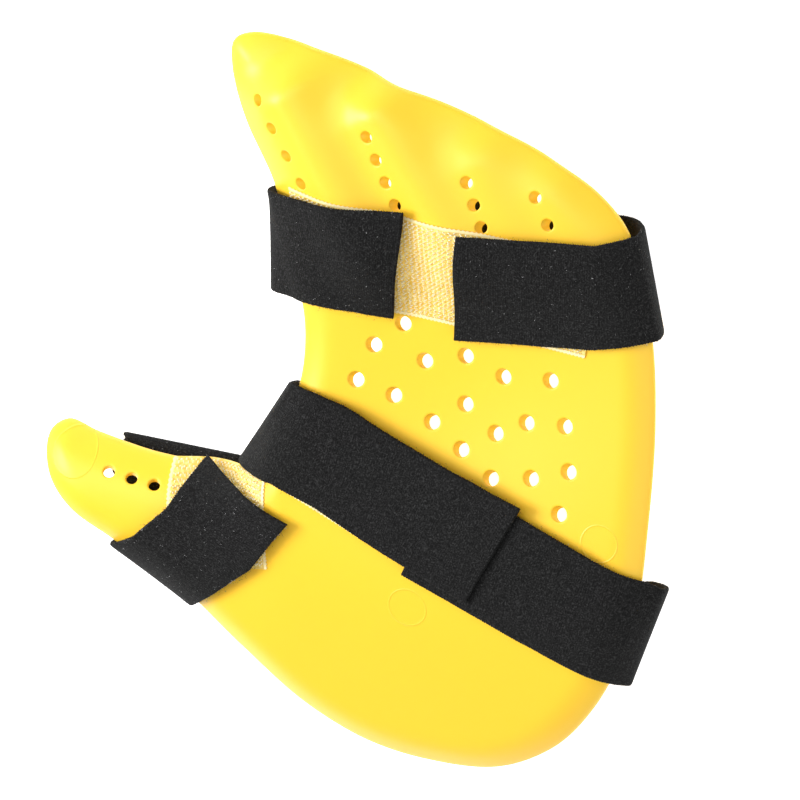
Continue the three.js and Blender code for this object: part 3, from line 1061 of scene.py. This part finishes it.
FINGER_STRAP = StrapSize("finger_strap", 40.5, (
    Place((0.059, 0.304), (0.034, 0.15), lift=LAYERS.on_flutes),
    Place((-0.174, 0.302), (-0.134, 0.158), lift=LAYERS.on_tape),
    Place((-0.183, 0.297), (-0.175, 0.156), z=(0.462, 0.518)),
    Place((-0.182, 0.292), (-0.184, 0.152), z=(0.267, 0.323)),
    Place((-0.166, 0.289), (-0.168, 0.15), z=(0.072, 0.086)),
    Place((-0.124, 0.289), (-0.128, 0.15), z=(0, 0)),
    Place((0.358, 0.292), (0.38, 0.15), z=(0, 0)),
    Place((0.388, 0.292), (0.416, 0.153), z=(0.07, 0.075)),
    Place((0.405, 0.294), (0.436, 0.154), z=(0.212, 0.226)),
    Place((0.416, 0.295), (0.452, 0.155), z=(0.359, 0.421)),
    Place((0.415, 0.291), (0.453, 0.153), lift=LAYERS.on_rim),
    Place((0.362, 0.283), (0.358, 0.139), lift=LAYERS.on_flutes),
    Place((0.145, 0.28), (0.13, 0.127), lift=LAYERS.on_flutes),
))
PALM_STRAP = StrapSize("palm_strap", 42.5, (
    Place((0.128, -0.057), (0.054, -0.197), lift=LAYERS.on_tape),
    Place((0.345, -0.137), (0.287, -0.288), lift=LAYERS.on_tape),
    Place((0.444, -0.174), (0.388, -0.327), lift=LAYERS.on_rim),
    Place((0.467, -0.186), (0.402, -0.332), z=(0.657, 0.518)),
    Place((0.461, -0.193), (0.393, -0.338), z=(0.421, 0.337)),
    Place((0.421, -0.203), (0.362, -0.349), z=(0.125, 0.103)),
    Place((0.38, -0.209), (0.322, -0.356), z=(0, 0)),
    Place((-0.102, -0.005), (-0.183, -0.125), z=(0, 0)),
    Place((-0.13, 0.009), (-0.217, -0.111), z=(0.064, 0.064)),
    Place((-0.146, 0.022), (-0.239, -0.097), z=(0.226, 0.198)),
    Place((-0.148, 0.031), (-0.241, -0.092), z=(0.462, 0.351)),
    Place((-0.133, 0.041), (-0.224, -0.089), lift=LAYERS.on_tape),
    Place((-0.094, 0.036), (-0.158, -0.093), lift=LAYERS.on_tape),
    Place((-0.047, 0.024), (-0.087, -0.118), lift=LAYERS.on_tape),
    Place((0.051, -0.017), (-0.004, -0.156), lift=LAYERS.on_tape),
    Place((0.141, -0.05), (0.066, -0.184), lift=LAYERS.on_strap),
    Place((0.249, -0.087), (0.162, -0.223), lift=LAYERS.on_strap),
))
THUMB_STRAP = StrapSize("thumb_strap", 38, (
    Place((-0.292, -0.088), (-0.13, -0.145), lift=LAYERS.on_flutes),
    Place((-0.336, -0.147), (-0.196, -0.218), lift=LAYERS.on_flutes),
    Place((-0.393, -0.195), (-0.258, -0.26), lift=LAYERS.on_tape),
    Place((-0.436, -0.216), (-0.308, -0.292), lift=LAYERS.on_rim),
    Place((-0.449, -0.223), (-0.319, -0.299), z=(0.421, 0.365)),
    Place((-0.446, -0.223), (-0.318, -0.3), z=(0.24, 0.198)),
    Place((-0.431, -0.217), (-0.304, -0.293), z=(0.053, 0.053)),
    Place((-0.436, -0.198), (-0.286, -0.271), z=(0, 0)),
    Place((-0.476, -0.125), (-0.285, -0.14), z=(0, 0)),
    Place((-0.449, -0.096), (-0.256, -0.111), z=(0.025, 0.025)),
    Place((-0.446, -0.086), (-0.252, -0.1), z=(0.106, 0.106)),
    Place((-0.436, -0.095), (-0.256, -0.113), z=(0.184, 0.192)),
    Place((-0.428, -0.116), (-0.256, -0.142), z=(0.281, 0.365)),
))


@dataclass(frozen=True)
class StrapMesh:
    """How finely a strap is drawn, and how rough its edges are."""

    along: float = 0.3
    face_step: float = 2.5
    fold_samples: int = 14
    taut: float = 0.7
    edge_marks: tuple[tuple[float, float], ...] = (
        (0.0, 0.35), (0.25, 0.75), (0.7, 0.95), (1.6, 1.0), (4.0, 1.0), (8.0, 1.0),
        (12.0, 1.0), (16.0, 1.0))
    tooth_pitch: float = 0.9
    tooth: float = 0.16
    ragged: float = 0.05
    wander: float = 0.12
    wander_step: int = 30
    fibres: int = 3600
    edge_share: float = 0.12
    fibre_long: tuple[float, float] = (0.3, 0.9)
    fibre_wide: float = 0.09
    fibre_floor: float = 0.05
    end_thin: tuple[float, float] = (0.45, 0.85)
    tooth_fades: tuple[float, float, float] = (1.0, 0.7, 0.2)


class Strap:
    """A band of loop fabric that is wrapped round the board."""

    def __init__(self, face: Face, size: StrapSize, mesh: StrapMesh = StrapMesh()) -> None:
        """Keep the sizes.

        Args:
            face: Face that the strap lies on.
            size: Route and cut.
            mesh: How finely it is drawn.
        """
        self.face = face
        self.size = size
        self.mesh = mesh
        self.random = np.random.default_rng(SEED + len(size.node))
        self.length = 0.0
        self.flat: Points = np.zeros((0, 0, 2))
        self.outer: Points = np.zeros((0, 0, 3))
        self.normal: Points = np.zeros((0, 0, 3))

    def row_line(self, share: float) -> tuple[Points, list[int]]:
        """Find the strap's middle line on one row.

        Args:
            share: Place across the strap, 0 at edge a and 1 at edge b.

        Returns:
            Points to run a spline through, and samples from each to the next.
        """
        rows: list[Points] = []
        spans: list[int] = []
        runs: list[tuple[int, int]] = []
        places = self.size.places
        for number, place in enumerate(places):
            spot = BOARD.plan(place.a + share * np.subtract(place.b, place.a))
            if place.z is not None:
                high = LAYERS.floor + BOARD.high * (place.z[0] + share * (place.z[1] - place.z[0]))
                rows.append(np.array([[*spot, high]]))
                spans.append(self.mesh.fold_samples)
                continue
            following = places[number + 1] if number + 1 < len(places) else None
            begun = runs and runs[-1][1] == -1
            if not begun:
                runs.append((sum(map(len, rows)), -1))
            if following is None or following.lift is None:
                high = self.face.lifted(spot[0], spot[1], place.lift)
                rows.append(np.array([[*spot, float(high)]]))
                spans.append(self.mesh.fold_samples)
                runs[-1] = (runs[-1][0], sum(map(len, rows)))
                continue
            target = BOARD.plan(following.a + share * np.subtract(following.b, following.a))
            longest = (math.dist(BOARD.plan(following.a), BOARD.plan(place.a))
                       + math.dist(BOARD.plan(following.b), BOARD.plan(place.b)))
            steps = max(2, round(longest / 2 / self.mesh.face_step))
            part = np.arange(steps) / steps
            x = spot[0] + part * (target[0] - spot[0])
            y = spot[1] + part * (target[1] - spot[1])
            lift = place.lift + part * (following.lift - place.lift)
            rows.append(np.stack([x, y, self.face.lifted(x, y, lift)], axis=1))
            spans += [3] * steps
        line = np.vstack(rows)
        for start, end in runs:
            tight = tight_over(line[start:end, 2])
            line[start:end, 2] += self.mesh.taut * (tight - line[start:end, 2])
        return line, spans[:-1]

    def layer(self) -> tuple[Points, Points, Points]:
        """Draw the strap's middle layer.

        Returns:
            Grid of points, their outward directions and the half thickness of each row.
        """
        marks = self.mesh.edge_marks
        near = [mark for mark, _ in marks] + [self.size.width / 2]
        shares = [mark / self.size.width for mark in near]
        shares += [1 - share for share in shares[-2::-1]]
        bulk = [share for _, share in marks] + [1.0]
        bulk += bulk[-2::-1]
        lines = [self.row_line(share) for share in shares]
        grid = smooth_line(np.array([line for line, _ in lines]), lines[0][1])
        grid[..., 2] = np.maximum(grid[..., 2], LAYERS.floor)
        middle = grid[len(grid) // 2]
        along = np.concatenate([[0], np.cumsum(np.linalg.norm(np.diff(middle, axis=0), axis=1))])
        wanted = np.linspace(0, along[-1], round(along[-1] / self.mesh.along) + 1)
        grid = np.stack([
            np.stack([np.interp(wanted, along, row[:, axis]) for axis in range(3)], axis=1)
            for row in grid])
        self.length = float(along[-1])
        across = np.gradient(grid, axis=0)
        ahead = np.gradient(grid, axis=1)
        normal = np.cross(across, ahead)
        normal /= np.linalg.norm(normal, axis=-1, keepdims=True)
        normal = -normal
        side = grid[-1] - grid[0]
        side /= np.linalg.norm(side, axis=-1, keepdims=True)
        columns = grid.shape[1]
        turns = wanted / self.mesh.tooth_pitch
        teeth = self.mesh.tooth * (1 - 4 * np.abs(turns % 1 - 0.5))
        knots = np.arange(0, columns + self.mesh.wander_step, self.mesh.wander_step)
        for first, way in ((0, -1), (-1, 1)):
            jag = self.random.normal(0, self.mesh.ragged, columns)
            slow = np.interp(
                np.arange(columns), knots, self.random.normal(0, self.mesh.wander, len(knots)))
            for depth, share in enumerate(self.mesh.tooth_fades):
                grid[first + way * -depth] += side * (way * share * (teeth + jag + slow))[:, None]
        for end in (0, -1):
            jag = self.random.normal(0, self.mesh.ragged, len(grid))
            grid[:, end] += ahead[:, end] * jag[:, None]
        self.flat = np.stack(np.meshgrid(wanted, np.array(shares) * self.size.width), axis=-1)
        return grid, normal, np.array(bulk)

    def build(self) -> bpy.types.Object:
        """Model the strap as one closed band.

        Returns:
            The strap.
        """
        grid, normal, bulk = self.layer()
        half = LAYERS.strap / 2
        thick = np.repeat((bulk * half)[:, None], grid.shape[1], axis=1)
        for place, share in enumerate(self.mesh.end_thin):
            thick[:, place] *= share
            thick[:, -1 - place] *= share
        self.outer = grid + normal * thick[..., None]
        inner = grid - normal * thick[..., None]
        self.normal = normal
        points, faces = closed_layer(self.outer, inner)
        piece = make_object(self.size.node + "_band", self.face.to_frame(points), faces)
        lay_flat(piece, np.stack([self.flat, self.flat]))
        tidy_normals(piece)
        return piece

    def build_nap(self) -> bpy.types.Object:
        """Model the single fibres that stand off the fabric.

        Returns:
            The fibres.
        """
        size = self.mesh
        rows, columns = self.outer.shape[:2]
        count = size.fibres
        spread = self.random.uniform(0, rows - 1, count)
        at_edge = self.random.random(count) < size.edge_share
        spread[at_edge] = self.random.choice([0, rows - 1], at_edge.sum())
        row = np.round(spread).astype(int)
        column = self.random.integers(1, columns - 1, count)
        base = self.outer[row, column]
        out = self.normal[row, column]
        ahead = self.outer[row, column + 1] - self.outer[row, column - 1]
        ahead /= np.linalg.norm(ahead, axis=1, keepdims=True)
        side = np.cross(out, ahead)
        step = self.random.uniform(-1.9, 1.9, (count, 1))
        base = base + ahead * self.random.uniform(-0.4, 0.4, (count, 1))
        inside = ~at_edge & (row > 1) & (row < rows - 2)
        base[inside] += side[inside] * step[inside]
        turn = self.random.uniform(0, 2 * math.pi, count)[:, None]
        way = np.cos(turn) * ahead + np.sin(turn) * side
        lean = self.random.uniform(0.05, 0.5, (count, 1))
        edge_way = np.where(row == 0, 1.0, -1.0)[:, None] * side
        loose = 0.8 * edge_way * self.random.choice([-1, 1], (count, 1)) + 0.5 * way
        way = np.where(at_edge[:, None], loose, way)
        way /= np.linalg.norm(way, axis=1, keepdims=True)
        long = self.random.uniform(*size.fibre_long, (count, 1))
        mid = base + way * long * 0.55 + out * long * lean
        tip = base + way * long + out * long * lean * self.random.uniform(0.2, 1.4, (count, 1))
        wide = np.cross(way, out) * size.fibre_wide / 2
        strip = np.stack([base - wide, base + wide, mid - wide, mid + wide,
                          tip - wide / 2, tip + wide / 2], axis=1)
        strip[..., 2] = np.maximum(strip[..., 2], size.fibre_floor)
        first = np.arange(count)[:, None] * 6
        faces = np.vstack([first + (0, 1, 3, 2), first + (2, 3, 5, 4)])
        return make_object(self.size.node + "_nap", self.face.to_frame(strip), faces)


# Hook tape


@dataclass(frozen=True)
class TapeSize:
    """A hook tape's corners in plan: two along one selvage, then two along the other."""

    node: str
    corners: tuple[tuple[float, float], ...]
    width: float
    length: float


TAPES = (
    TapeSize("finger_hook_tape", (
        (-0.139, 0.313), (0.371, 0.262), (-0.115, 0.169), (0.341, 0.122)), width=39, length=120),
    TapeSize("palm_hook_tape", (
        (-0.1, 0.033), (0.375, -0.175), (-0.175, -0.089), (0.303, -0.296)), width=38, length=126),
    TapeSize("thumb_hook_tape", (
        (-0.348, -0.097), (-0.333, -0.229), (-0.177, -0.093), (-0.173, -0.218)), width=38, length=40),
)


@dataclass(frozen=True)
class TapeMesh:
    """How the hooks stand on a tape."""

    step: float = 1.5
    fine: float = 0.4
    tooth_pitch: float = 1.6
    tooth: float = 0.2
    bond: float = 0.12
    backing: float = 0.4
    selvage: float = 1.0
    pitch: float = 2.0
    row_gap: float = 0.8
    hook_thick: float = 0.42
    hook_sides: int = 4
    root_share: float = 0.9
    hook: tuple[tuple[float, float], ...] = (
        (0.0, 0.0), (0.0, 0.45), (0.08, 0.75), (0.28, 0.92), (0.5, 0.82), (0.58, 0.6))
    jitter: float = 0.1


class HookTape:
    """A strip of hook tape that follows the face."""

    def __init__(self, face: Face, size: TapeSize, mesh: TapeMesh = TapeMesh()) -> None:
        """Keep the sizes.

        Args:
            face: Face that the tape is bonded to.
            size: Corners of the tape.
            mesh: How the hooks stand.
        """
        self.face = face
        self.size = size
        self.mesh = mesh
        self.random = np.random.default_rng(SEED)

    def plan(self, along: Points, across: Points) -> tuple[Points, Points]:
        """Find places on the tape.

        Args:
            along: Shares of the length.
            across: Shares of the width.

        Returns:
            Places in plan.
        """
        a, b, c, d = BOARD.plan(self.size.corners)
        near = a + along[..., None] * (b - a)
        far = c + along[..., None] * (d - c)
        spot = near + across[..., None] * (far - near)
        return spot[..., 0], spot[..., 1]

    def build(self) -> bpy.types.Object:
        """Model the backing.

        Returns:
            The backing.
        """
        size = self.mesh
        rows = round(self.size.width / size.step) + 1
        columns = round(self.size.length / size.fine) + 1
        across, along = np.meshgrid(
            np.linspace(0, 1, rows), np.linspace(0, 1, columns), indexing="ij")
        teeth = np.abs(along[0] * self.size.length / size.tooth_pitch % 1 - 0.5)
        share = size.tooth / self.size.width * (1 - 4 * teeth)
        across[0] -= share
        across[-1] += share
        x, y = self.plan(along, across)
        low = np.stack([x, y, self.face.height(x, y)], axis=-1)
        normal = self.face.normal(x, y)
        under = low + normal * size.bond
        over = under + normal * size.backing
        points, faces = closed_layer(over, under)
        piece = make_object(self.size.node + "_backing", self.face.to_frame(points), faces)
        flat = np.stack([along * self.size.length, np.abs(across - 0.5) * self.size.width], axis=-1)
        edge = self.size.width / 2 - size.selvage
        lay_flat(piece, np.stack([flat, flat]) - (0, edge))
        tidy_normals(piece)
        return piece

    def build_hooks(self) -> bpy.types.Object:
        """Model the field of hooks.

        Returns:
            The hooks.
        """
        size = self.mesh
        room = self.size.width - 2 * size.selvage
        rows = int(room / size.row_gap)
        columns = int(self.size.length / size.pitch) - 1
        row, column = np.meshgrid(np.arange(rows), np.arange(columns), indexing="ij")
        along = (column + 0.5 + 0.5 * (row % 2)) * size.pitch
        along += self.random.normal(0, size.jitter, along.shape)
        across = size.selvage + (row + 0.5) * room / rows
        across = across + self.random.normal(0, size.jitter / 2, across.shape)
        along, across = along.ravel() / self.size.length, across.ravel() / self.size.width
        x, y = self.plan(along, across)
        normal = self.face.normal(x, y)
        base = np.stack([x, y, self.face.height(x, y)], axis=1)
        base = base + normal * (size.bond + size.backing * size.root_share)
        ahead_x, ahead_y = self.plan(along + 0.01, across)
        ahead = np.stack([ahead_x, ahead_y, self.face.height(ahead_x, ahead_y)], axis=1) - base
        ahead -= (ahead * normal).sum(1, keepdims=True) * normal
        ahead /= np.linalg.norm(ahead, axis=1, keepdims=True)
        side = np.cross(normal, ahead)
        lean = self.random.normal(0, 0.25, (len(x), 1))
        way = np.where(row.ravel()[:, None] % 2 == 0, 1.0, -1.0) * ahead + lean * side
        way /= np.linalg.norm(way, axis=1, keepdims=True)
        side = np.cross(normal, way)
        path = np.array(size.hook)
        bend = np.gradient(path, axis=0)
        bend /= np.linalg.norm(bend, axis=1, keepdims=True)
        tall = self.random.uniform(0.9, 1.08, (len(x), 1))
        sides = size.hook_sides
        rings = []
        for (out, up), (run, climb) in zip(path, bend):
            centre = base + way * out * tall + normal * up * tall
            cross = normal * run - way * climb
            for number in range(sides):
                angle = 2 * math.pi * (number + 0.5) / sides
                rings.append(centre + size.hook_thick / 2 * (
                    math.cos(angle) * side + math.sin(angle) * cross))
        points = np.stack(rings, axis=1)
        each = len(path) * sides
        pattern = []
        for ring in range(len(path) - 1):
            for number in range(sides):
                one = ring * sides + number
                two = ring * sides + (number + 1) % sides
                pattern.append((one, two, two + sides, one + sides))
        pattern.append(tuple(range(sides))[::-1])
        pattern.append(tuple(range(each - sides, each)))
        starts = np.arange(len(x))[:, None, None] * each
        faces = (starts + np.array(pattern)[None]).reshape(-1, 4)
        return make_object(self.size.node + "_hooks", self.face.to_frame(points), faces)


# Studio


class LightKind(Enum):
    """Lights of the studio."""

    KEY = "key"
    FILL = "fill"
    TOP = "top"


@dataclass(frozen=True)
class Lamp:
    """A soft square light that looks at the part. Lengths are metres."""

    kind: LightKind
    place: tuple[float, float, float]
    side: float
    watts: float


@dataclass(frozen=True)
class Camera:
    """The photo's view: where it looks from, and its scale."""

    toward: tuple[float, float, float] = (0.324, 0.3246, 0.888)
    up: tuple[float, float, float] = (-0.111, 0.945, -0.305)
    far: float = 12.0
    photo_width: float = 288.0
    sensor: float = 36.0
    aim_high: float = 20.0


class Studio:
    """Floor, lights and camera."""

    room_light = 0.34
    floor_side = 8
    floor_glow = 0.95
    sees_to = 40
    lamps = (
        Lamp(LightKind.KEY, (-0.95, 0.2, 0.85), 0.6, 19),
        Lamp(LightKind.FILL, (0.9, -0.3, 0.9), 1.0, 5),
        Lamp(LightKind.TOP, (-0.1, 0.6, 1.3), 1.0, 8),
    )

    def __init__(self, face: Face, camera: Camera = Camera()) -> None:
        """Keep the sizes.

        Args:
            face: Face, for the plan's place in the frame.
            camera: The view.
        """
        self.face = face
        self.camera = camera

    def build_floor(self) -> bpy.types.Object:
        """Make the pale floor.

        Returns:
            The floor.
        """
        bpy.ops.mesh.primitive_plane_add(size=self.floor_side, location=(0, 0, 0))
        floor = bpy.context.object
        floor.name = "studio_floor"
        material, tree, surface = new_material("pale_floor")
        shader = add_node(tree, "BsdfPrincipled", {
            "Base Color": linear("F4F4F4"), "Roughness": 0.9, "Specular IOR Level": 0.1,
            "Emission Color": linear("FFFFFF"), "Emission Strength": self.floor_glow})
        tree.links.new(shader.outputs[0], surface)
        floor.data.materials.append(material)
        return floor

    def build_lamps(self) -> None:
        """Make the soft lights."""
        for lamp in self.lamps:
            light = bpy.data.lights.new(lamp.kind.value, "AREA")
            light.size = lamp.side
            light.energy = lamp.watts
            made = bpy.data.objects.new(lamp.kind.value, light)
            bpy.context.scene.collection.objects.link(made)
            made.location = lamp.place
            made.rotation_euler = (-Vector(lamp.place)).to_track_quat("-Z", "Y").to_euler()

    def build_world(self) -> None:
        """Fill the room with even light."""
        world = bpy.data.worlds.new("room")
        world.use_nodes = True
        sky = world.node_tree.nodes["Background"].inputs
        sky["Color"].default_value = linear("FFFFFF")
        sky["Strength"].default_value = self.room_light
        bpy.context.scene.world = world
        bpy.context.scene.view_settings.view_transform = "Standard"

    def build_camera(self) -> None:
        """Place the camera at the photo's angle and scale."""
        view = self.camera
        back = Vector(view.toward).normalized()
        right = Vector(view.up).cross(back).normalized()
        above = back.cross(right)
        lens = bpy.data.cameras.new("photo_view")
        lens.sensor_width = view.sensor
        lens.lens = view.sensor * view.far / (view.photo_width * MM)
        lens.clip_end = self.sees_to
        made = bpy.data.objects.new("photo_view", lens)
        bpy.context.scene.collection.objects.link(made)
        middle = self.face.to_frame(np.zeros(3))
        # The photo's middle is the plan's origin at height 0, so the aim moves with its height
        aim = Vector(middle) + back * (view.aim_high * MM / back.z)
        place = aim + back * view.far
        turn = Matrix((right, above, back)).transposed()
        made.matrix_world = Matrix.Translation(place) @ turn.to_4x4()
        bpy.context.scene.camera = made


@dataclass
class SplintBoard:
    """The whole part."""

    face: Face

    @staticmethod
    def wear(piece: bpy.types.Object, material: bpy.types.Material) -> None:
        """Give a piece its material and let it ride on the part.

        Args:
            piece: The piece.
            material: Its finish.
        """
        piece.data.materials.append(material)
        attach(piece, "root")

    def dress_board(self) -> None:
        """Model the shell in yellow plastic."""
        shell = Board(self.face).build()
        self.wear(shell, Plastic().build(self.face))
        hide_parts("splint_board")

    def dress_straps(self) -> None:
        """Model the straps in loop fabric with their nap."""
        fabric, nap = LoopFabric().build(), LoopFabric().build_nap()
        for size in (FINGER_STRAP, PALM_STRAP, THUMB_STRAP):
            strap = Strap(self.face, size)
            band = strap.build()
            fibres = strap.build_nap()
            self.wear(band, fabric)
            self.wear(fibres, nap)
            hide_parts(size.node)
            LOG.info("%s: %.0f mm long", size.node, strap.length)

    def dress_tapes(self) -> None:
        """Model the hook tapes in cream nylon."""
        backing = HookBacking().build()
        hooks = HookNylon().build()
        for size in TAPES:
            tape = HookTape(self.face, size)
            strip = tape.build()
            field_of_hooks = tape.build_hooks()
            self.wear(strip, backing)
            self.wear(field_of_hooks, hooks)
            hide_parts(size.node)


def main() -> None:
    """Build the scene."""
    logging.basicConfig(level=logging.INFO, format="%(name)s %(message)s")
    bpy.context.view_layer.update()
    face = Face(FaceSize())
    part = SplintBoard(face)
    part.dress_board()
    part.dress_straps()
    part.dress_tapes()
    studio = Studio(face)
    studio.build_floor()
    studio.build_lamps()
    studio.build_world()
    studio.build_camera()


if __name__ == "__main__":
    main()
